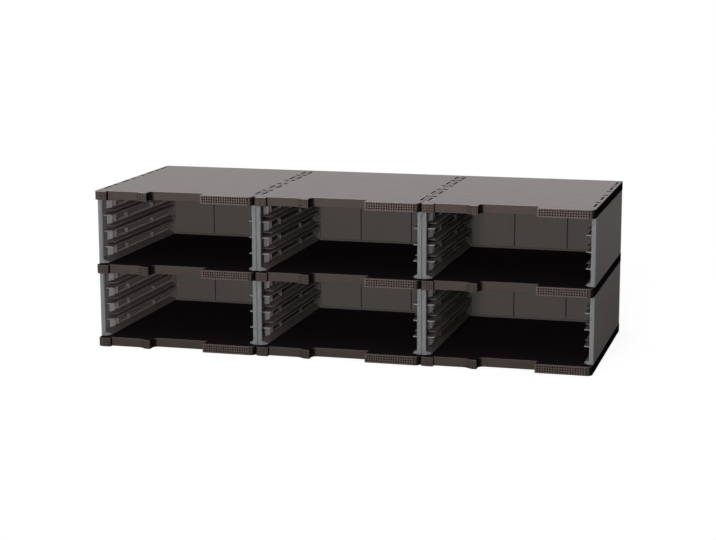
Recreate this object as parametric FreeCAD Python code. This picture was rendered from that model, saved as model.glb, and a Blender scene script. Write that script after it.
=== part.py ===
import FreeCAD, Part
import math
import os

Vector = FreeCAD.Vector

# The unit: equal columns of plates and walls that stand side by side
column_names = ("left", "middle", "right")
plate_levels = ("bottom", "middle", "top")
tier_names = ("lower", "upper")
column_gap = 0.5

# Shelf plate: a moulded tray shape that is open below
plate_width = 273.0
plate_depth = 331.0
plate_height = 14.5
plate_skin = 2.4
plate_rim = 2.4
plate_edge_bevel = 0.7
front_corner_radius = 9.0
rib_thickness = 1.8
length_rib_count = 2
cross_rib_count = 1

# Front edge of a plate, from left to right
corner_block_width = 22.0
label_width = 50.0
label_depth = 8.0
ramp_width = 12.0
ramp_radius = 9.0
grip_end_width = 8.0
finger_width = 92.0
finger_depth = 20.0
finger_radius = 9.0

# Sockets along both sides of a plate: long slots take the tabs of the wall below,
# short holes take the pegs of the wall above
socket_inset = 5.9
socket_margin = 31.0
socket_kinds = ("slot", "hole", "slot", "hole", "hole", "slot", "hole", "slot")
socket_steps = (32.0, 43.0, 37.0, 41.0, 34.0, 33.0, 31.0)
slot_length = 29.6
slot_width = 2.9
hole_length = 8.2
hole_width = 6.2
socket_wall = 1.4
socket_clearance = 0.3

# Side wall: a thin outer skin with a front post, a foot, grooved rails and a rear channel
clear_height = 108.0
wall_setback = 15.4
wall_rear_inset = 3.0
wall_skin = 2.4
post_width = 6.9
post_depth = 5.0
post_bevel = 0.8
foot_reach = 15.4
foot_thickness = 2.2
foot_nose = 0.8
foot_rise = 7.0
foot_corner = 8.0
flange_reach = 9.0
flange_thickness = 2.0
tab_shortfall = 1.2
peg_length = 7.0

# Rails: pairs of lips with a groove between them, in which a loose shelf could slide
rail_count = 3
rail_reach = 17.0
first_groove = 26.1
groove_pitch = 26.3
groove_height = 4.9
lip_root = 2.4
lip_tip = 1.8
lower_lip_start = 16.0
upper_lip_start = 28.0

# Ridged pads near the front and detent bumps further in, one set in each slot of the wall
pad_start = 29.5
pad_lift = 0.5
pad_height = 11.4
pad_taper = 4.5
ridge_offsets = (0.0, 4.6, 25.4)
ridge_widths = (4.3, 7.8, 3.3)
ridge_slope = 0.65
bump_crests = (110.0, 226.0)
bump_lead = 6.2
bump_fall = 4.0
bump_height = 9.0
bump_rise = 4.0

# Back panel and the upright channels that hold it
panel_thickness = 2.4
panel_clearance = 0.2
channel_rib = 2.0
channel_reach = 17.0
panel_foot_reach = 2.6
panel_foot_rise = 1.6
panel_strips = 3
seam_width = 1.8
seam_depth = 1.0

# Sizes worked out from the ones above
column_pitch = plate_width + column_gap
unit_width = len(column_names) * column_pitch - column_gap
tier_pitch = clear_height + plate_height
wall_length = plate_depth - wall_setback - wall_rear_inset
lip_gap = groove_height + lip_root
channel_width = panel_thickness + 2 * panel_clearance
channel_start = wall_length - 2 * channel_rib - channel_width
tab_height = plate_height - tab_shortfall
socket_sizes = {"slot": (slot_width, slot_length), "hole": (hole_width, hole_length)}


def outline(corners, turn=Part.Arc):
    # Closed outline through corners given as x, y and radius; a corner that has a radius gets a tangent arc
    count = len(corners)
    turns = []
    for index, (x, y, radius) in enumerate(corners):
        here = Vector(x, y, 0)
        before = (Vector(*corners[index - 1][:2], 0) - here).normalize()
        after = (Vector(*corners[(index + 1) % count][:2], 0) - here).normalize()
        half_angle = before.getAngle(after) / 2
        setback = radius / math.tan(half_angle)
        bisector = (before + after).normalize()
        middle = here + bisector * (radius / math.sin(half_angle) - radius)
        turns.append((here + before * setback, middle, here + after * setback))
    edges = []
    for index, (start, middle, end) in enumerate(turns):
        if corners[index][2] > 0:
            edges.append(turn(start, middle, end).toShape())
        edges.append(Part.LineSegment(end, turns[(index + 1) % count][0]).toShape())
    return Part.Wire(edges)


def prism(points, direction):
    # Solid swept straight along a direction from a flat outline of points
    loop = Part.makePolygon([Vector(*point) for point in points + points[:1]])
    return Part.Face(loop).extrude(Vector(*direction))


def block(low, high):
    # Box between two opposite corners
    size = Vector(*high) - Vector(*low)
    return Part.makeBox(size.x, size.y, size.z, Vector(*low))


def socket_stations():
    # Kind of each socket and its distance behind the front end of a wall
    span = wall_length - 2 * socket_margin
    stations = []
    travelled = 0.0
    for kind, step in zip(socket_kinds, socket_steps + (0.0,)):
        stations.append((kind, socket_margin + span * travelled / sum(socket_steps)))
        travelled += step
    return stations


def straight_turn(start, middle, end):
    # Straight cut across a corner, in place of an arc
    return Part.LineSegment(start, end)


def plate_corners(ramp_turn, finger_turn):
    # Corners of a plate seen from above, with its left front corner at the origin
    label_end = corner_block_width + label_width
    ramp_end = label_end + ramp_width
    finger_start = ramp_end + grip_end_width
    finger_end = finger_start + finger_width
    return [
        (0, 0, front_corner_radius),
        (corner_block_width, 0, 0),
        (corner_block_width, label_depth, 0),
        (label_end, label_depth, ramp_turn),
        (ramp_end, 0, ramp_turn),
        (finger_start, 0, 0),
        (finger_start, finger_depth, finger_turn),
        (finger_end, finger_depth, 0),
        (finger_end, 0, 0),
        (plate_width, 0, front_corner_radius),
        (plate_width, plate_depth, 0),
        (0, plate_depth, 0),
    ]


def plate_ribs():
    # Ribs under the skin: one beside each row of sockets, and a grid between those two
    channel_edge = socket_inset + hole_width / 2 + socket_wall
    rib_pitch = (plate_width - 2 * channel_edge - rib_thickness) / (length_rib_count + 1)
    cross_pitch = plate_depth / (cross_rib_count + 1)
    top = plate_height - plate_skin
    ribs = []
    for number in range(length_rib_count + 2):
        start = channel_edge + number * rib_pitch
        ribs.append(block((start, 0, 0), (start + rib_thickness, plate_depth, top)))
    for number in range(1, cross_rib_count + 1):
        start = number * cross_pitch - rib_thickness / 2
        ribs.append(block((channel_edge, start, 0), (plate_width - channel_edge, start + rib_thickness, top)))
    return ribs


def plate_sockets():
    # Slots and holes through the skin along both sides
    cuts = []
    for centre in (socket_inset, plate_width - socket_inset):
        for kind, station in socket_stations():
            width, length = socket_sizes[kind]
            low = (centre - width / 2, wall_setback + station - length / 2, plate_height - 2 * plate_skin)
            cuts.append(block(low, (low[0] + width, low[1] + length, plate_height + plate_skin)))
    return cuts


def make_plate():
    # The bevelled plate, hollow below between its rim and ribs
    rim = outline(plate_corners(ramp_radius, finger_radius))
    plate = Part.Face(rim).extrude(Vector(0, 0, plate_height))
    top_edges = [edge for edge in plate.Edges if edge.BoundBox.ZMin > plate_height / 2]
    plate = plate.makeChamfer(plate_edge_bevel, top_edges)
    sharp_join = 2
    inner = outline(plate_corners(0, 0), straight_turn).makeOffset2D(-plate_rim, sharp_join)
    hollow = Part.Face(inner).extrude(Vector(0, 0, plate_height - plate_skin)).cut(plate_ribs())
    return plate.cut([hollow] + plate_sockets()).removeSplitter()


def wall_body():
    # Skin, sloping foot and top flange as one section, swept from the front of the wall to its rear;
    # the front corner of the foot is cut off at a slant, beside the post
    nose = foot_reach - foot_nose
    foot_top = foot_thickness + foot_rise
    flange_base = clear_height - flange_thickness
    section = [
        (0, 0), (nose, 0), (foot_reach, foot_thickness - foot_nose), (nose, foot_thickness), (wall_skin, foot_top),
        (wall_skin, flange_base), (flange_reach, flange_base), (flange_reach, clear_height), (0, clear_height),
    ]
    body = prism([(x, 0, z) for x, z in section], (0, wall_length, 0))
    corner = [(post_width, 0, 0), (foot_reach, 0, 0), (foot_reach, foot_corner, 0)]
    return body.cut(prism(corner, (0, 0, foot_top)))


def wall_post():
    # Front post with bevelled front edges
    return prism([
        (0, post_bevel, 0), (post_bevel, 0, 0), (post_width - post_bevel, 0, 0),
        (post_width, post_bevel, 0), (post_width, post_depth, 0), (0, post_depth, 0),
    ], (0, 0, clear_height))


def wall_lips():
    # Two lips for each rail, flat towards the groove and drafted on the other side
    root = wall_skin / 2
    lips = []
    for number in range(rail_count):
        floor = first_groove + number * groove_pitch
        ceiling = floor + groove_height
        lower = [(root, floor), (rail_reach, floor), (rail_reach, floor - lip_tip), (root, floor - lip_root)]
        upper = [(root, ceiling), (rail_reach, ceiling), (rail_reach, ceiling + lip_tip), (root, ceiling + lip_root)]
        for section, start in ((lower, lower_lip_start), (upper, upper_lip_start)):
            lips.append(prism([(x, start, z) for x, z in section], (0, channel_start + channel_rib - start, 0)))
    return lips


def ramped_boss(start, crest, end, rise, base, height):
    # Low boss on the inner face of the skin: it climbs from its front end to a crest, then falls to its rear end
    root = wall_skin / 2
    section = [(root, start), (wall_skin, start), (wall_skin + rise, crest), (wall_skin, end), (root, end)]
    return prism([(x, y, base) for x, y in section], (0, 0, height))


def ridged_pad(base):
    # A row of ridges of one slope, each upright at its rear, whose underside slopes back to the skin
    ridges = []
    for offset, width in zip(ridge_offsets, ridge_widths):
        start = pad_start + offset
        end = start + width
        ridges.append(ramped_boss(start, end, end, width * ridge_slope, base, pad_height))
    crest = wall_skin + max(ridge_widths) * ridge_slope
    under = [(wall_skin, base), (crest, base), (crest, base + pad_taper)]
    slope = prism([(x, pad_start, z) for x, z in under], (0, end - pad_start, 0))
    return [ridge.cut(slope) for ridge in ridges]


def wall_bosses():
    # Ridged pad and detent bumps in each slot, between one rail and the next
    bosses = []
    for number in range(rail_count + 1):
        slot_floor = first_groove + (number - 1) * groove_pitch + lip_gap
        bosses += ridged_pad(slot_floor + pad_lift)
        for crest in bump_crests:
            bosses.append(ramped_boss(
                crest - bump_lead, crest, crest + bump_fall, bump_rise, slot_floor, bump_height
            ))
    return bosses


def wall_channel():
    # Two upright ribs at the rear, and the way between them for the edge of the back panel
    root = wall_skin / 2
    ribs = []
    for start in (channel_start, wall_length - channel_rib):
        ribs.append(block((root, start, 0), (channel_reach, start + channel_rib, clear_height)))
    gap_start = channel_start + channel_rib
    gap = block((wall_skin, gap_start, 0), (channel_reach + foot_reach, gap_start + channel_width, clear_height))
    return ribs, gap


def wall_tabs():
    # Tabs above the flange for the slots of the plate above, and pegs below the foot for the holes beneath
    tabs = []
    for kind, station in socket_stations():
        width, length = socket_sizes[kind]
        half_width = width / 2 - socket_clearance
        half_length = length / 2 - socket_clearance
        low, high = (clear_height, clear_height + tab_height) if kind == "slot" else (-peg_length, 0)
        tabs.append(block(
            (socket_inset - half_width, station - half_length, low),
            (socket_inset + half_width, station + half_length, high),
        ))
    return tabs


def make_wall():
    # Left wall: outer face at x = 0, front end at y = 0, standing on z = 0
    ribs, gap = wall_channel()
    pieces = [wall_post()] + wall_lips() + wall_bosses() + ribs
    body = wall_body().fuse(pieces).cut(gap)
    return body.fuse(wall_tabs()).removeSplitter()


def make_panel():
    # Back panel: left edge at x = 0, front face at y = 0, standing on z = 0
    width = plate_width - 2 * (wall_skin + panel_clearance)
    skin = block((0, 0, 0), (width, panel_thickness, clear_height))
    inset = channel_reach - wall_skin
    nose = panel_foot_reach - foot_nose
    foot_top = foot_thickness + panel_foot_rise
    root = panel_thickness / 2
    section = [
        (root, 0), (-nose, 0), (-panel_foot_reach, foot_thickness - foot_nose), (-nose, foot_thickness),
        (0, foot_top), (root, foot_top),
    ]
    foot = prism([(inset, y, z) for y, z in section], (width - 2 * inset, 0, 0))
    strip = plate_width / panel_strips
    seams = []
    for number in range(1, panel_strips):
        middle = number * strip - wall_skin - panel_clearance
        groove = [(middle - seam_width / 2, 0), (middle, seam_depth), (middle + seam_width / 2, 0)]
        seams.append(prism([(x, y, foot_top) for x, y in groove], (0, 0, clear_height - foot_top)))
    return skin.fuse(foot).cut(seams).removeSplitter()


def save(shape, name, place):
    # One file for each piece, at its own place in the unit
    piece = shape.copy()
    piece.translate(Vector(*place))
    piece.exportStep(os.path.join("parts", name + ".step"))


os.makedirs("parts", exist_ok=True)
plate = make_plate()
left_wall = make_wall()
right_wall = left_wall.mirror(Vector(0, 0, 0), Vector(1, 0, 0))
panel = make_panel()

front = -plate_depth / 2
wall_front = front + wall_setback
panel_front = wall_front + channel_start + channel_rib + panel_clearance
for column, column_name in enumerate(column_names):
    left_edge = column * column_pitch - unit_width / 2
    for level, level_name in enumerate(plate_levels):
        save(plate, f"{column_name}_column_{level_name}_plate", (left_edge, front, level * tier_pitch))
    for tier, tier_name in enumerate(tier_names):
        floor = plate_height + tier * tier_pitch
        prefix = f"{column_name}_column_{tier_name}"
        save(left_wall, f"{prefix}_left_wall", (left_edge, wall_front, floor))
        save(right_wall, f"{prefix}_right_wall", (left_edge + plate_width, wall_front, floor))
        panel_left = left_edge + wall_skin + panel_clearance
        save(panel, f"{prefix}_back_panel", (panel_left, panel_front, floor))
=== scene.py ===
import math
from contextlib import contextmanager
import bmesh
import bpy
from mathutils import Matrix, Vector


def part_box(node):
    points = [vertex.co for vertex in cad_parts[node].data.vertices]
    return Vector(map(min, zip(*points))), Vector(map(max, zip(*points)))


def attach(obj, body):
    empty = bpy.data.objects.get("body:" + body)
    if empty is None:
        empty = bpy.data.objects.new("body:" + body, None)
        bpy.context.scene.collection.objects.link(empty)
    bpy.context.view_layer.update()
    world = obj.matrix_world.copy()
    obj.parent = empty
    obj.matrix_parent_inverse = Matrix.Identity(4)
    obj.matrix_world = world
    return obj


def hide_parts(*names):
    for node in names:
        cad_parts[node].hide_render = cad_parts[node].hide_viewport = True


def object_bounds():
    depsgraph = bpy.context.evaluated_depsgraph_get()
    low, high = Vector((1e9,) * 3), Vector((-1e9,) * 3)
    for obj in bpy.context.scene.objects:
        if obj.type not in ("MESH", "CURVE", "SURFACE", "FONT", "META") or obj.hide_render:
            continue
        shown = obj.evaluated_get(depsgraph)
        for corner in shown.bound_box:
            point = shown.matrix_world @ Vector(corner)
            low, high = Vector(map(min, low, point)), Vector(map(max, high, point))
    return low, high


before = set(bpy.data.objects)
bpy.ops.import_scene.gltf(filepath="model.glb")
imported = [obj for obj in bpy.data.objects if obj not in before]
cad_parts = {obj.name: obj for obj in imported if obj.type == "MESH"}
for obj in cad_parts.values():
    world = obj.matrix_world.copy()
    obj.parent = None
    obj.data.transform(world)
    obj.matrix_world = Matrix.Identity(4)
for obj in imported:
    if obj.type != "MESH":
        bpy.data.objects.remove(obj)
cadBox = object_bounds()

scene = bpy.context.scene
mm = 0.001
columnGap = 0.5 * mm
columnPitch = (cadBox[1].x - cadBox[0].x + columnGap) / 3  # three equal columns
rampTurn = math.atan(0.65)  # turn of the sloping faces on the walls' pads and bumps
print("frame:", len(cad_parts), "nodes")


class Wire:  # an output socket, so that sums of masks read as sums
    def __init__(self, board, socket):
        self.board = board
        self.socket = socket

    def other(self, name):  # another output of the same node
        return Wire(self.board, self.socket.node.outputs[name])

    def maths(self, operation, first, second):
        return self.board.add("ShaderNodeMath", {"operation": operation}, {0: first, 1: second})

    def __add__(self, value):
        return self.maths("ADD", self, value)

    def __radd__(self, value):
        return self.maths("ADD", value, self)

    def __sub__(self, value):
        return self.maths("SUBTRACT", self, value)

    def __rsub__(self, value):
        return self.maths("SUBTRACT", value, self)

    def __mul__(self, value):
        return self.maths("MULTIPLY", self, value)

    def __rmul__(self, value):
        return self.maths("MULTIPLY", value, self)

    def __truediv__(self, value):
        return self.maths("DIVIDE", self, value)

    def __mod__(self, value):
        return self.maths("FLOORED_MODULO", self, value)

    def __gt__(self, value):
        return self.maths("GREATER_THAN", self, value)

    def __lt__(self, value):
        return self.maths("LESS_THAN", self, value)


class Board:  # a node tree with one way to add a node
    def __init__(self, tree):
        self.tree = tree

    def add(self, kind, settings=None, sockets=None, out=0):
        node = self.tree.nodes.new(kind)
        for name, value in (settings or {}).items():
            setattr(node, name, value)
        for name, value in (sockets or {}).items():
            for item in reversed(value) if isinstance(value, list) else [value]:
                if isinstance(item, Wire):
                    self.tree.links.new(item.socket, node.inputs[name])
                else:
                    node.inputs[name].default_value = item
        return Wire(self, node.outputs[out]) if len(node.outputs) else node


def newMaterial(name):
    material = bpy.data.materials.new(name)
    material.use_nodes = True
    material.node_tree.nodes.clear()
    return material, Board(material.node_tree)


def finishMaterial(board, surface):
    board.add("ShaderNodeOutputMaterial", None, {"Surface": surface})


def objectPlace(board):
    return board.add("ShaderNodeTexCoord", None, None, "Object")


def pointParts(board, place):  # how far a point is into its column, behind the front of the unit, and up
    sideways = board.add("ShaderNodeSeparateXYZ", None, {0: place}, "X")
    across = (sideways - cadBox[0].x) % columnPitch
    behind = sideways.other("Y") - cadBox[0].y
    return across, behind, sideways.other("Z")


def smoothStep(board, value, low, high):
    return board.add("ShaderNodeMapRange", {"interpolation_type": "SMOOTHSTEP"}, {
        "Value": value, "From Min": low, "From Max": high,
    })


def facing(board, direction, low, high):  # 0 to 1 as a face turns towards a direction
    normal = board.add("ShaderNodeNewGeometry", None, None, "Normal")
    part = board.add("ShaderNodeVectorMath", {"operation": "DOT_PRODUCT"}, {
        0: normal, 1: direction,
    }, "Value")
    return smoothStep(board, part, low, high)


def blendColour(board, mask, first, second):  # sockets by number, because their names repeat
    return board.add("ShaderNodeMix", {"data_type": "RGBA"}, {0: mask, 6: first, 7: second}, 2)


def cloud(board, place, scale, detail=3.0):
    return board.add("ShaderNodeTexNoise", None, {"Vector": place, "Scale": scale, "Detail": detail}, "Fac")


def about(middle, spread, pattern):  # a value that follows a pattern up and down from its middle
    return middle + spread * (pattern - 0.5)


def fineGrain(board, place, look):  # the grain of the mould, and the normals that it gives
    grain = cloud(board, place, look["grainSize"], detail=2.0)
    normal = board.add("ShaderNodeBump", None, {
        "Strength": look["grainStrength"], "Distance": look["grainHeight"], "Height": grain,
    }, "Normal")
    return grain, normal


# Plate plastic: near black, with painted light and shade: a lit brown along the front edge, lit tops on the
# top plates, shaded sides and floors, a painted highlight on the top front edges; a soft shine on the
# uppermost faces.
# Names that end in ward give a direction and how squarely a face looks that way, from not at all to wholly.
platePlastic = {
    "side": (0.010, 0.008, 0.008, 1),
    "floor": (0.027, 0.0195, 0.0235, 1),
    "top": (0.1, 0.05, 0.046, 1),
    "front": (0.083, 0.065, 0.0575, 1),
    "frontWorn": (0.1, 0.081, 0.072, 1),
    "gripLand": (0.155, 0.12, 0.109, 1),
    # edge is a painted highlight on the bevel of the top front edges
    "edge": (0.5, 0.45, 0.43, 1),
    "lowestShade": 0.66,  # share of the brown at the foot of the unit
    "lowerEdge": 0.25,  # share of the pale edge on the plates below the top ones
    "frontReach": 26 * mm, "topReach": 4 * mm, "gripStart": 184 * mm, "gripEnd": 264 * mm,
    "frontward": ((-0.17, -0.985, 0.0), 0.62, 0.93),
    "upward": ((0.0, 0.0, 1.0), 0.6, 0.95),
    "edgeward": ((0.0, -0.707, 0.707), 0.72, 0.92),
    "roughness": 0.62, "specular": 0.0, "topShine": 0.72, "shineRoughness": 0.28, "shineSpread": 0.16,
    "mottleSize": 60.0, "mottleSpread": 0.16,
    "grainSize": 1300.0, "grainSpread": 0.1, "grainStrength": 0.12, "grainHeight": 0.1 * mm,
}


def makePlatePlastic(look):
    material, board = newMaterial("plate_plastic")
    place = objectPlace(board)
    across, behind, height = pointParts(board, place)
    mottle = cloud(board, place, look["mottleSize"])
    grain, normal = fineGrain(board, place, look)
    # painted shade: the lit brown and the highlight stop at frontReach behind the front, so the socket
    # walls stay near black
    nearFront = behind < look["frontReach"]  # the walls of the sockets stay dark
    onTop = height > cadBox[1].z - look["topReach"]
    front = facing(board, *look["frontward"]) * nearFront
    level = facing(board, *look["upward"])
    upper = level * onTop
    # painted highlight: a pale colour on the bevel along the top front edges, weaker on the plates below
    # the top ones
    edge = facing(board, *look["edgeward"]) * nearFront
    edge = edge * (look["lowerEdge"] + (1 - look["lowerEdge"]) * onTop)
    gripped = (across > look["gripStart"]) * (across < look["gripEnd"])
    brown = blendColour(board, mottle, look["front"], look["frontWorn"])
    brown = blendColour(board, gripped, brown, look["gripLand"])
    fade = look["lowestShade"] + (1 - look["lowestShade"]) / cadBox[1].z * height
    # painted light and shade: shaded tones on the sides and floors, a lit tone on the tops of the top
    # plates, a lit brown on the fronts
    colour = blendColour(board, level, look["side"], look["floor"])
    colour = blendColour(board, upper, colour, look["top"])
    colour = blendColour(board, front * fade, colour, brown)
    colour = blendColour(board, edge, colour, look["edge"])
    roughness = about(look["roughness"], look["mottleSpread"], mottle)
    surface = board.add("ShaderNodeBsdfPrincipled", None, {
        "Base Color": colour, "Roughness": about(roughness, look["grainSpread"], grain),
        "Specular IOR Level": look["specular"], "Coat Roughness": look["shineRoughness"],
        "Coat Weight": look["topShine"] * upper * about(1.0, look["shineSpread"], mottle),
        "Normal": normal,
    })
    finishMaterial(board, surface)
    return material


# Grip dots: painted shade, a near black on the bottoms of the small pits in the front blocks
gripShade = {
    "colour": (0.010, 0.007, 0.006, 1),
    "roughness": 0.8, "specular": 0.1, "grainSize": 2200.0, "grainSpread": 0.2,
}


def makeGripShade(look):
    material, board = newMaterial("grip_shade")
    grain = cloud(board, objectPlace(board), look["grainSize"])
    surface = board.add("ShaderNodeBsdfPrincipled", None, {
        "Base Color": look["colour"], "Roughness": about(look["roughness"], look["grainSpread"], grain),
        "Specular IOR Level": look["specular"],
    })
    finishMaterial(board, surface)
    return material


# Grey plastic: what walls and back panels share, upright streaks and a fine grain
greyPlastic = {
    "streakStretch": (40.0, 40.0, 4.0), "streakSize": 3.0, "streakSpread": 0.15,
    "grainSize": 1500.0, "grainSpread": 0.12, "grainStrength": 0.1, "grainHeight": 0.1 * mm,
    "roughness": 0.6, "specular": 0.05,
}


def greyMarks(board, place, look):  # the streaks, and the sockets that they and the grain set
    upright = board.add("ShaderNodeMapping", None, {"Vector": place, "Scale": look["streakStretch"]})
    streak = cloud(board, upright, look["streakSize"])
    grain, normal = fineGrain(board, place, look)
    roughness = about(look["roughness"], look["streakSpread"], streak)
    return streak, {
        "Roughness": about(roughness, look["grainSpread"], grain), "Specular IOR Level": look["specular"],
        "Normal": normal,
    }


# Wall plastic: cooler on the front posts; painted light and shade elsewhere: lighter on the tips of the
# rails, the pads, the bumps, the lips' tops, their front ends and the skin near the front, darker on the
# skin, on the outer sides and towards the rear, darkest as painted shade on the tabs in the uppermost
# sockets. It lets some light through.
wallPlastic = {
    "skin": (0.085, 0.06, 0.062, 1),
    "skinLight": (0.1, 0.072, 0.074, 1),
    "nearSkin": (0.15, 0.148, 0.143, 1),
    "tread": (0.19, 0.155, 0.152, 1),
    "tip": (0.36, 0.305, 0.3, 1),
    "outer": (0.165, 0.148, 0.143, 1),
    "pad": (0.41, 0.39, 0.378, 1),
    "bump": (0.24, 0.222, 0.216, 1),
    "lipEnd": (0.33, 0.32, 0.312, 1),
    "rear": (0.1, 0.09, 0.086, 1),
    "post": (0.225, 0.235, 0.24, 1),
    "tab": (0.012, 0.011, 0.011, 1),
    "postReach": 22 * mm, "lipReach": 37 * mm, "nearReach": 44 * mm, "padReach": 80 * mm,  # from the front
    "outerReach": 0.5 * mm, "tipReach": 4.4 * mm,  # in from the sides of the column
    "tabReach": 13 * mm,  # down from the top
    "frontward": ((0.0, -1.0, 0.0), 0.5, 0.9),
    "upward": ((0.0, 0.0, 1.0), 0.7, 0.95),
    "sideward": (0.8, 0.95), "rampward": (0.985, 0.997),  # to the left and to the right
    "glow": 0.55, "glowDepth": 20 * mm,
}


def makeWallPlastic(look):
    material, board = newMaterial("wall_plastic")
    place = objectPlace(board)
    across, behind, height = pointParts(board, place)
    streak, marks = greyMarks(board, place, greyPlastic)
    inward = (across > look["tipReach"]) * (across < columnPitch - look["tipReach"])
    outward = 1 - (across > look["outerReach"]) * (across < columnPitch - columnGap - look["outerReach"])
    front = facing(board, *look["frontward"])
    # painted light and shade: a dark skin, lighter near the front
    colour = blendColour(board, streak, look["skin"], look["skinLight"])
    colour = blendColour(board, behind < look["nearReach"], colour, look["nearSkin"])
    # painted light: faces that look up get a lit tone
    colour = blendColour(board, facing(board, *look["upward"]), colour, look["tread"])
    # painted light: the sloping faces of the pads and bumps lit pale, the pads more
    slope = blendColour(board, behind > look["padReach"], look["pad"], look["bump"])
    # painted light and shade: the tips of the rails in a lit tone, the walls' outer sides in a shaded tone
    for side in (-1, 1):
        sideways = facing(board, (side, 0.0, 0.0), *look["sideward"])
        colour = blendColour(board, sideways * inward, colour, look["tip"])
        colour = blendColour(board, sideways * outward, colour, look["outer"])
        ramp = facing(board, (side * math.cos(rampTurn), -math.sin(rampTurn), 0.0), *look["rampward"])
        colour = blendColour(board, ramp, colour, slope)
    # painted light and shade on front faces: lit lip ends near the front, a shaded tone further back
    inner = blendColour(board, behind > look["lipReach"], look["lipEnd"], look["rear"])
    colour = blendColour(board, front, colour, inner)
    colour = blendColour(board, front * (behind < look["postReach"]), colour, look["post"])
    # painted shade: the tabs in the uppermost sockets near black
    colour = blendColour(board, height > cadBox[1].z - look["tabReach"], colour, look["tab"])
    surface = board.add("ShaderNodeBsdfPrincipled", None, {
        **marks, "Base Color": colour, "Subsurface Weight": look["glow"],
        "Subsurface Radius": (1.0, 1.0, 1.0), "Subsurface Scale": look["glowDepth"],
    })
    finishMaterial(board, surface)
    return material


# Panel plastic: the darker grey of the back panels, with painted shade, darkest, on the two slopes of each
# seam
panelPlastic = {
    "skin": (0.097, 0.087, 0.081, 1),
    "skinLight": (0.11, 0.099, 0.093, 1),
    "seam": (0.035, 0.031, 0.03, 1),
    "seamSlope": (0.74, -0.67), "seamward": (0.85, 0.95),
}


def makePanelPlastic(look):
    material, board = newMaterial("panel_plastic")
    streak, marks = greyMarks(board, objectPlace(board), greyPlastic)
    colour = blendColour(board, streak, look["skin"], look["skinLight"])
    aside, out = look["seamSlope"]
    # painted shade on the two slopes of each seam
    for side in (-1, 1):
        seam = facing(board, (side * aside, out, 0.0), *look["seamward"])
        colour = blendColour(board, seam, colour, look["seam"])
    finishMaterial(board, board.add("ShaderNodeBsdfPrincipled", None, {**marks, "Base Color": colour}))
    return material


plateFinish = makePlatePlastic(platePlastic)
dotFinish = makeGripShade(gripShade)
wallFinish = makeWallPlastic(wallPlastic)
panelFinish = makePanelPlastic(panelPlastic)
print("materials:", len(bpy.data.materials))


def addObject(name, data):
    piece = bpy.data.objects.new(name, data)
    scene.collection.objects.link(piece)
    return piece


def modified(mesh, kind, settings, inputs=None):  # a plain mesh with one modifier worked in
    piece = addObject("work_piece", mesh)
    modifier = piece.modifiers.new("work", kind)
    for name, value in settings.items():
        setattr(modifier, name, value)
    for identifier, value in (inputs or {}).items():
        modifier[identifier] = value
    graph = bpy.context.evaluated_depsgraph_get()
    made = bpy.data.meshes.new_from_object(piece.evaluated_get(graph), depsgraph=graph)
    piece.modifiers.remove(modifier)
    bpy.data.objects.remove(piece)
    return made


@contextmanager
def opened(mesh):  # a mesh's corners, edges and faces to work on, put back at the end
    work = bmesh.new()
    work.from_mesh(mesh)
    yield work
    work.to_mesh(mesh)
    work.free()


# Moulded edges are softened a little, so that they catch the light, and the plates' top edges a little more
edgeRound = {
    "width": 0.3 * mm, "topWidth": 0.7 * mm, "segments": 2, "sharpAngle": 35.0, "smoothAngle": 40.0,
    "flatness": 80,  # how far wide faces outweigh narrow ones in the normals
}
sameCorner = 0.001 * mm  # corners of the CAD triangles nearer than this are one
sameLevel = 0.01 * mm
sliver = 0.002 * mm  # faces narrower than this are dissolved


def mergedCopy(node):  # the CAD triangles joined into one closed skin
    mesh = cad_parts[node].data.copy()
    mesh.materials.clear()
    with opened(mesh) as work:
        bmesh.ops.remove_doubles(work, verts=work.verts, dist=sameCorner)
    if "custom_normal" in mesh.attributes:
        mesh.attributes.remove(mesh.attributes["custom_normal"])
    return mesh


def roundShare(edge, edges, levels):  # share of the widest rounding; levels are a plate's underside and top
    plain = edges["width"] / edges["topWidth"]
    if levels is None:
        return plain
    heights = [corner.co.z for corner in edge.verts]
    if min(heights) > levels[1] - sameLevel:
        return 1.0
    hidden = any(levels[0] + sameLevel < height < levels[1] - sameLevel for height in heights)
    return 0.0 if hidden else plain


def softened(mesh, edges, levels=None):  # outer edges rounded, inner corners left sharp
    with opened(mesh) as work:
        bmesh.ops.triangulate(work, faces=work.faces)
        marks = work.edges.layers.float.new("bevel_weight_edge")
        for edge in work.edges:
            if edge.is_convex and edge.calc_face_angle() > math.radians(edges["sharpAngle"]):
                edge[marks] = roundShare(edge, edges, levels)
    return modified(mesh, "BEVEL", {
        "width": edges["topWidth"], "segments": edges["segments"], "limit_method": "WEIGHT",
        "use_clamp_overlap": False, "loop_slide": False,
    })


def evenNormals(mesh, edges):  # wide faces stay flat and the rounded edges take the bend
    with opened(mesh) as work:
        bmesh.ops.dissolve_degenerate(work, dist=sliver, edges=work.edges)
        bmesh.ops.triangulate(work, faces=[face for face in work.faces if len(face.verts) > 4])
    mesh.shade_smooth()
    mesh.set_sharp_from_angle(angle=math.radians(edges["smoothAngle"]))
    return modified(mesh, "WEIGHTED_NORMAL", {"keep_sharp": True, "weight": edges["flatness"]})


def placeCopies(pattern, patternNode, nodes):  # one piece for each node, moved to its place
    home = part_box(patternNode)[0]
    for node in nodes:
        mesh = pattern.copy()
        mesh.transform(Matrix.Translation(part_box(node)[0] - home))
        piece = addObject(node + "_shown", mesh)
        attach(piece, "root")
        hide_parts(node)


def nodesEnding(ending):
    return sorted(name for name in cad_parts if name.endswith(ending))


def sizeInputs(sizes):  # socket types for a dictionary of lengths and counts
    kinds = {float: "NodeSocketFloat", int: "NodeSocketInt"}
    return {label: kinds[type(value)] for label, value in sizes.items()}


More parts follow.
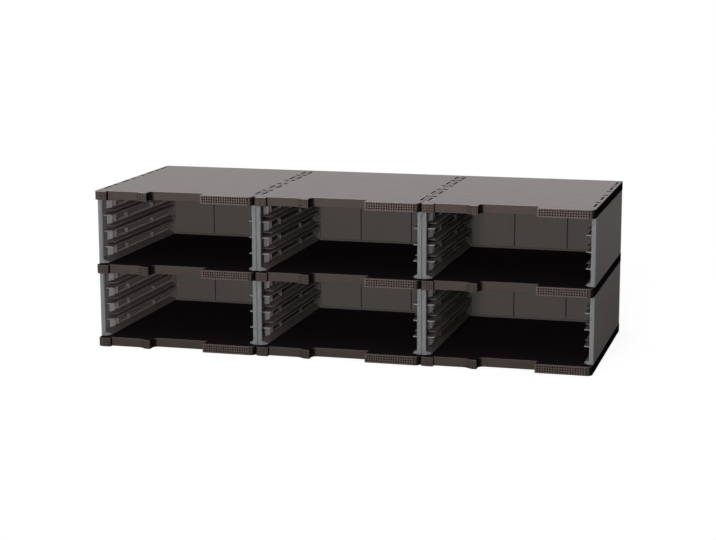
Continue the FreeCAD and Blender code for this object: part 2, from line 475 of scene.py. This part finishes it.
def newTree(name, inputs):
    tree = bpy.data.node_groups.new(name, "GeometryNodeTree")
    tree.interface.new_socket("Geometry", in_out="OUTPUT", socket_type="NodeSocketGeometry")
    for label, kind in inputs.items():
        tree.interface.new_socket(label, in_out="INPUT", socket_type=kind)
    board = Board(tree)
    first = board.add("NodeGroupInput")
    return tree, board, {label: first.other(label) for label in inputs}


def throughTree(mesh, tree, values):
    sockets = [item for item in tree.interface.items_tree if item.in_out == "INPUT" and item.name in values]
    inputs = {item.identifier: values[item.name] for item in sockets}
    return modified(mesh, "NODES", {"node_group": tree}, inputs)


def vector(board, **parts):  # a vector from its X, Y and Z
    return board.add("ShaderNodeCombineXYZ", None, parts)


def addVectors(board, first, second):
    return board.add("ShaderNodeVectorMath", {"operation": "ADD"}, {0: first, 1: second})


def realized(board, geometry):
    return board.add("GeometryNodeRealizeInstances", None, {"Geometry": geometry})


# Grip on the front blocks: three rows of small round pits on a square grid, in fields along the front edge
grip = {
    "Dot Pitch": 4.0 * mm, "Row Pitch": 3.75 * mm, "Rows": 3, "Lowest Row": 3.6 * mm, "Dot Depth": 1.0 * mm,
}
gripFields = {  # middle from the plate's left front corner, turn in degrees, dots in a row, dot width
    "Corner": (15.5 * mm, 0.0, 0.0, 3, 1.9 * mm),
    "Ramp": (78.0 * mm, 4.0 * mm, -33.69, 3, 1.9 * mm),
    "Ramp End": (88.0 * mm, 0.0, 0.0, 2, 1.9 * mm),
    "Block": (226.0 * mm, 0.0, 0.0, 20, 3.0 * mm),
}
dotBall = {"Segments": 10, "Rings": 6, "Radius": 1.0}  # scaled to the dots


def makeDotField():  # rows of round cutters, standing in a plane that is turned about the vertical
    tree, board, value = newTree("dot_field", {
        **sizeInputs(grip), "Dots": "NodeSocketInt", "Dot Width": "NodeSocketFloat",
        "Middle": "NodeSocketVector", "Turn": "NodeSocketFloat",
    })
    rise = value["Row Pitch"] * (value["Rows"] - 1)
    grid = board.add("GeometryNodeMeshGrid", None, {
        "Size X": value["Dot Pitch"] * (value["Dots"] - 1), "Size Y": rise,
        "Vertices X": value["Dots"], "Vertices Y": value["Rows"],
    })
    radius = value["Dot Width"] / 2
    dots = board.add("GeometryNodeInstanceOnPoints", None, {
        "Points": grid, "Instance": board.add("GeometryNodeMeshUVSphere", None, dotBall),
        "Scale": vector(board, X=radius, Y=radius, Z=value["Dot Depth"]),
    })
    raised = addVectors(board, value["Middle"], vector(board, Z=value["Lowest Row"] + rise / 2))
    upright = vector(board, X=math.radians(90), Z=value["Turn"])
    dots = board.add("GeometryNodeTransform", None, {
        "Geometry": dots, "Translation": raised, "Rotation": upright,
    })
    board.add("NodeGroupOutput", None, {"Geometry": dots})
    return tree


def makeGrippedPlate():  # the plate with all its grip fields sunk into it
    tree, board, value = newTree("gripped_plate", {
        "Plate": "NodeSocketGeometry", "Corner Place": "NodeSocketVector", **sizeInputs(grip),
        "Plate Finish": "NodeSocketMaterial", "Dot Finish": "NodeSocketMaterial",
    })
    dotField = makeDotField()
    fields = []
    for x, y, turn, count, width in gripFields.values():
        fields.append(board.add("GeometryNodeGroup", {"node_tree": dotField}, {
            **{label: value[label] for label in grip}, "Dots": count, "Dot Width": width,
            "Middle": addVectors(board, value["Corner Place"], (x, y, 0.0)), "Turn": math.radians(turn),
        }))
    dots = board.add("GeometryNodeJoinGeometry", None, {0: fields})
    dots = board.add("GeometryNodeSetMaterial", None, {"Geometry": dots, "Material": value["Dot Finish"]})
    cut = board.add("GeometryNodeMeshBoolean", {"operation": "DIFFERENCE", "solver": "EXACT"}, {
        "Mesh 1": value["Plate"], "Mesh 2": realized(board, dots),
    })
    inDot = board.add("GeometryNodeMaterialSelection", None, {"Material": value["Dot Finish"]})
    plain = board.add("FunctionNodeBooleanMath", {"operation": "NOT"}, {0: inDot})
    whole = board.add("GeometryNodeSetMaterial", None, {
        "Geometry": realized(board, cut), "Selection": plain, "Material": value["Plate Finish"],
    })
    board.add("NodeGroupOutput", None, {"Geometry": whole})
    return tree


plates = nodesEnding("_plate")
plateCorner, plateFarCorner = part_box(plates[0])
plateMesh = softened(mergedCopy(plates[0]), edgeRound, (plateCorner.z, plateFarCorner.z))
plateMesh = throughTree(plateMesh, makeGrippedPlate(), {
    **grip, "Corner Place": tuple(plateCorner), "Plate Finish": plateFinish, "Dot Finish": dotFinish,
})
plateMesh = evenNormals(plateMesh, edgeRound)
placeCopies(plateMesh, plates[0], plates)
print("plates:", len(plates), "of", len(plateMesh.polygons), "faces")

# Wall relief: in each slot between two rails a low ledge on the skin, and ramps over the pads and bumps
relief = {
    "Slots": 4, "Lowest Slot": 7.1 * mm, "Slot Pitch": 26.3 * mm, "Wall Skin": 2.4 * mm, "Sunk": 1.2 * mm,
    "Ledge Rise": 2.6 * mm, "Ledge Height": 4.0 * mm, "Ledge Start": 60.0 * mm, "Ledge End": 306.8 * mm,
    "Ramp Thickness": 3.0 * mm,
}
rampCover = 0.8 * mm  # how far a ramp stands out over its pad or bump
reliefRamps = {  # start behind the wall's front, width, lower end above the slot's floor, height
    "Narrow Pad": (29.5 * mm, 4.3 * mm, 0.8 * mm, 13.4 * mm),
    "Wide Pad": (34.1 * mm, 7.8 * mm, 0.8 * mm, 13.4 * mm),
    "Rear Pad": (51.8 * mm, 6.6 * mm, 0.8 * mm, 13.4 * mm),
    "Front Bump": (103.8 * mm, 6.2 * mm, 0.4 * mm, 9.2 * mm),
    "Rear Bump": (219.8 * mm, 6.2 * mm, 0.4 * mm, 9.2 * mm),
}


def addBar(board, size, middle, turn):  # a bar at its place in a slot, turned about the vertical
    return board.add("GeometryNodeTransform", None, {
        "Geometry": board.add("GeometryNodeMeshCube", None, {"Size": size}),
        "Translation": middle, "Rotation": vector(board, Z=turn),
    })


def addLedge(board, value):
    rise = value["Ledge Rise"]
    sunk = value["Sunk"]
    tall = value["Ledge Height"]
    size = vector(board, X=rise + sunk, Y=value["Ledge End"] - value["Ledge Start"], Z=tall + sunk)
    middle = vector(
        board, X=value["Side"] * (value["Wall Skin"] + (rise - sunk) / 2),
        Y=(value["Ledge End"] + value["Ledge Start"]) / 2, Z=(tall - sunk) / 2,
    )
    return addBar(board, size, middle, 0.0)


def addRamp(board, value, start, width, base, height):
    out = rampCover - value["Ramp Thickness"] / 2
    size = vector(board, X=value["Ramp Thickness"], Y=width / math.cos(rampTurn), Z=height)
    away = value["Wall Skin"] + width * math.tan(rampTurn) / 2 + math.cos(rampTurn) * out
    middle = vector(
        board, X=value["Side"] * away, Y=start + width / 2 - math.sin(rampTurn) * out, Z=base + height / 2,
    )
    return addBar(board, size, middle, value["Side"] * -rampTurn)


def makeReliefWall():  # the wall with its ledges and ramps joined on
    tree, board, value = newTree("relief_wall", {
        "Wall": "NodeSocketGeometry", "Corner Place": "NodeSocketVector", "Side": "NodeSocketFloat",
        **sizeInputs(relief), "Wall Finish": "NodeSocketMaterial",
    })
    bars = [addLedge(board, value)]
    for ramp in reliefRamps.values():
        bars.append(addRamp(board, value, *ramp))
    slots = board.add("GeometryNodeMeshLine", None, {
        "Count": value["Slots"], "Offset": vector(board, Z=value["Slot Pitch"]),
        "Start Location": addVectors(board, value["Corner Place"], vector(board, Z=value["Lowest Slot"])),
    })
    union = {"operation": "UNION", "solver": "EXACT"}
    bars = board.add("GeometryNodeMeshBoolean", union, {"Mesh 2": bars})
    bars = board.add("GeometryNodeInstanceOnPoints", None, {"Points": slots, "Instance": bars})
    whole = board.add("GeometryNodeMeshBoolean", union, {"Mesh 2": [value["Wall"], realized(board, bars)]})
    whole = board.add("GeometryNodeSetMaterial", None, {
        "Geometry": realized(board, whole), "Material": value["Wall Finish"],
    })
    board.add("NodeGroupOutput", None, {"Geometry": whole})
    return tree


wallTree = makeReliefWall()
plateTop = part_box(nodesEnding("_bottom_plate")[0])[1].z
for ending, corner, side in (("_left_wall", 0, 1.0), ("_right_wall", 1, -1.0)):
    walls = nodesEnding(ending)
    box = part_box(walls[0])
    wallMesh = throughTree(mergedCopy(walls[0]), wallTree, {
        **relief, "Corner Place": (box[corner].x, box[0].y, plateTop), "Side": side,
        "Wall Finish": wallFinish,
    })
    wallMesh = evenNormals(softened(wallMesh, edgeRound), edgeRound)
    placeCopies(wallMesh, walls[0], walls)
    print("walls" + ending + ":", len(walls), "of", len(wallMesh.polygons), "faces")

panels = nodesEnding("_back_panel")
panelMesh = evenNormals(softened(mergedCopy(panels[0]), edgeRound), edgeRound)
panelMesh.materials.append(panelFinish)
placeCopies(panelMesh, panels[0], panels)
print("back panels:", len(panels), "of", len(panelMesh.polygons), "faces")


# Studio: pale floor, white surround, a low lamp in front, one on the left that also shines through the
# outer wall, and a weak one on the right
studio = {
    "floorWidth": 12.0, "floorTone": 0.55, "floorGlow": 0.86, "surround": 0.22, "aim": (0.0, 0.0, 0.1),
    "shadowShape": (0.62, 1.0, 0.0), "shadowReach": (0.45, 1.1), "white": (1, 1, 1, 1),
    "lamps": {
        "front": {"place": (0.2, -3.4, 0.52), "size": (0.8, 0.5), "power": 69.5},
        "left": {"place": (-3.2, -0.2, 0.2), "size": (1.6, 0.8), "power": 36.0},
        "right": {"place": (3.2, -0.6, 0.12), "size": (1.6, 0.8), "power": 1.5},
    },
}


def makeFloor(look):
    half = look["floorWidth"] / 2
    corners = [(-half, -half, 0), (half, -half, 0), (half, half, 0), (-half, half, 0)]
    mesh = bpy.data.meshes.new("floor")
    mesh.from_pydata(corners, [], [(0, 1, 2, 3)])
    material, board = newMaterial("floor_paper")
    seen = board.add("ShaderNodeLightPath", None, None, "Is Camera Ray")
    flat = board.add("ShaderNodeVectorMath", {"operation": "MULTIPLY"}, {
        0: objectPlace(board), 1: look["shadowShape"],
    })
    reach = board.add("ShaderNodeVectorMath", {"operation": "LENGTH"}, {0: flat}, "Value")
    away = smoothStep(board, reach, *look["shadowReach"])
    tone = look["floorTone"]
    paper = board.add("ShaderNodeBsdfDiffuse", None, {"Color": (tone, tone, tone, 1)})
    glow = board.add("ShaderNodeEmission", None, {
        "Color": look["white"], "Strength": seen * look["floorGlow"],
    })
    lit = board.add("ShaderNodeAddShader", None, {0: paper, 1: glow})
    white = board.add("ShaderNodeEmission", None, {"Color": look["white"], "Strength": 1.0})
    finishMaterial(board, board.add("ShaderNodeMixShader", None, {
        0: away * (seen + seen.other("Is Glossy Ray")), 1: lit, 2: white,
    }))
    mesh.materials.append(material)
    floor = addObject("floor", mesh)


def makeSurround(look):
    world = bpy.data.worlds.new("surround")
    world.use_nodes = True
    world.node_tree.nodes.clear()
    scene.world = world
    board = Board(world.node_tree)
    seen = board.add("ShaderNodeLightPath", None, None, "Is Camera Ray")
    clear = seen + seen.other("Is Glossy Ray") + seen.other("Is Transmission Ray")
    glow = board.add("ShaderNodeBackground", None, {
        "Color": look["white"], "Strength": look["surround"] + (1 - look["surround"]) * clear,
    })
    board.add("ShaderNodeOutputWorld", None, {"Surface": glow})


def makeLamp(name, look, aim):
    data = bpy.data.lights.new(name, "AREA")
    data.shape = "RECTANGLE"
    data.size, data.size_y = look["size"]
    data.energy = look["power"]
    lamp = addObject(name, data)
    lamp.location = look["place"]
    lamp.rotation_euler = (Vector(aim) - lamp.location).to_track_quat("-Z", "Y").to_euler()
    lamp.visible_glossy = False
    lamp.visible_camera = False


makeFloor(studio)
makeSurround(studio)
for lampName, lampLook in studio["lamps"].items():
    makeLamp(lampName, lampLook, studio["aim"])

camera = {
    "place": (0.783386, -2.887414, 0.68281), "turn": (79.297632, 0.143738, 15.302948),  # degrees
    "focalPixels": 1819.096, "imageWidth": 716, "sensor": 36.0,
}
lens = bpy.data.cameras.new("camera")
lens.sensor_width = camera["sensor"]
lens.lens = camera["focalPixels"] * camera["sensor"] / camera["imageWidth"]
viewer = addObject("camera", lens)
viewer.location = camera["place"]
viewer.rotation_euler = [math.radians(angle) for angle in camera["turn"]]
scene.camera = viewer
scene.view_settings.view_transform = "Standard"
print("studio and camera set")
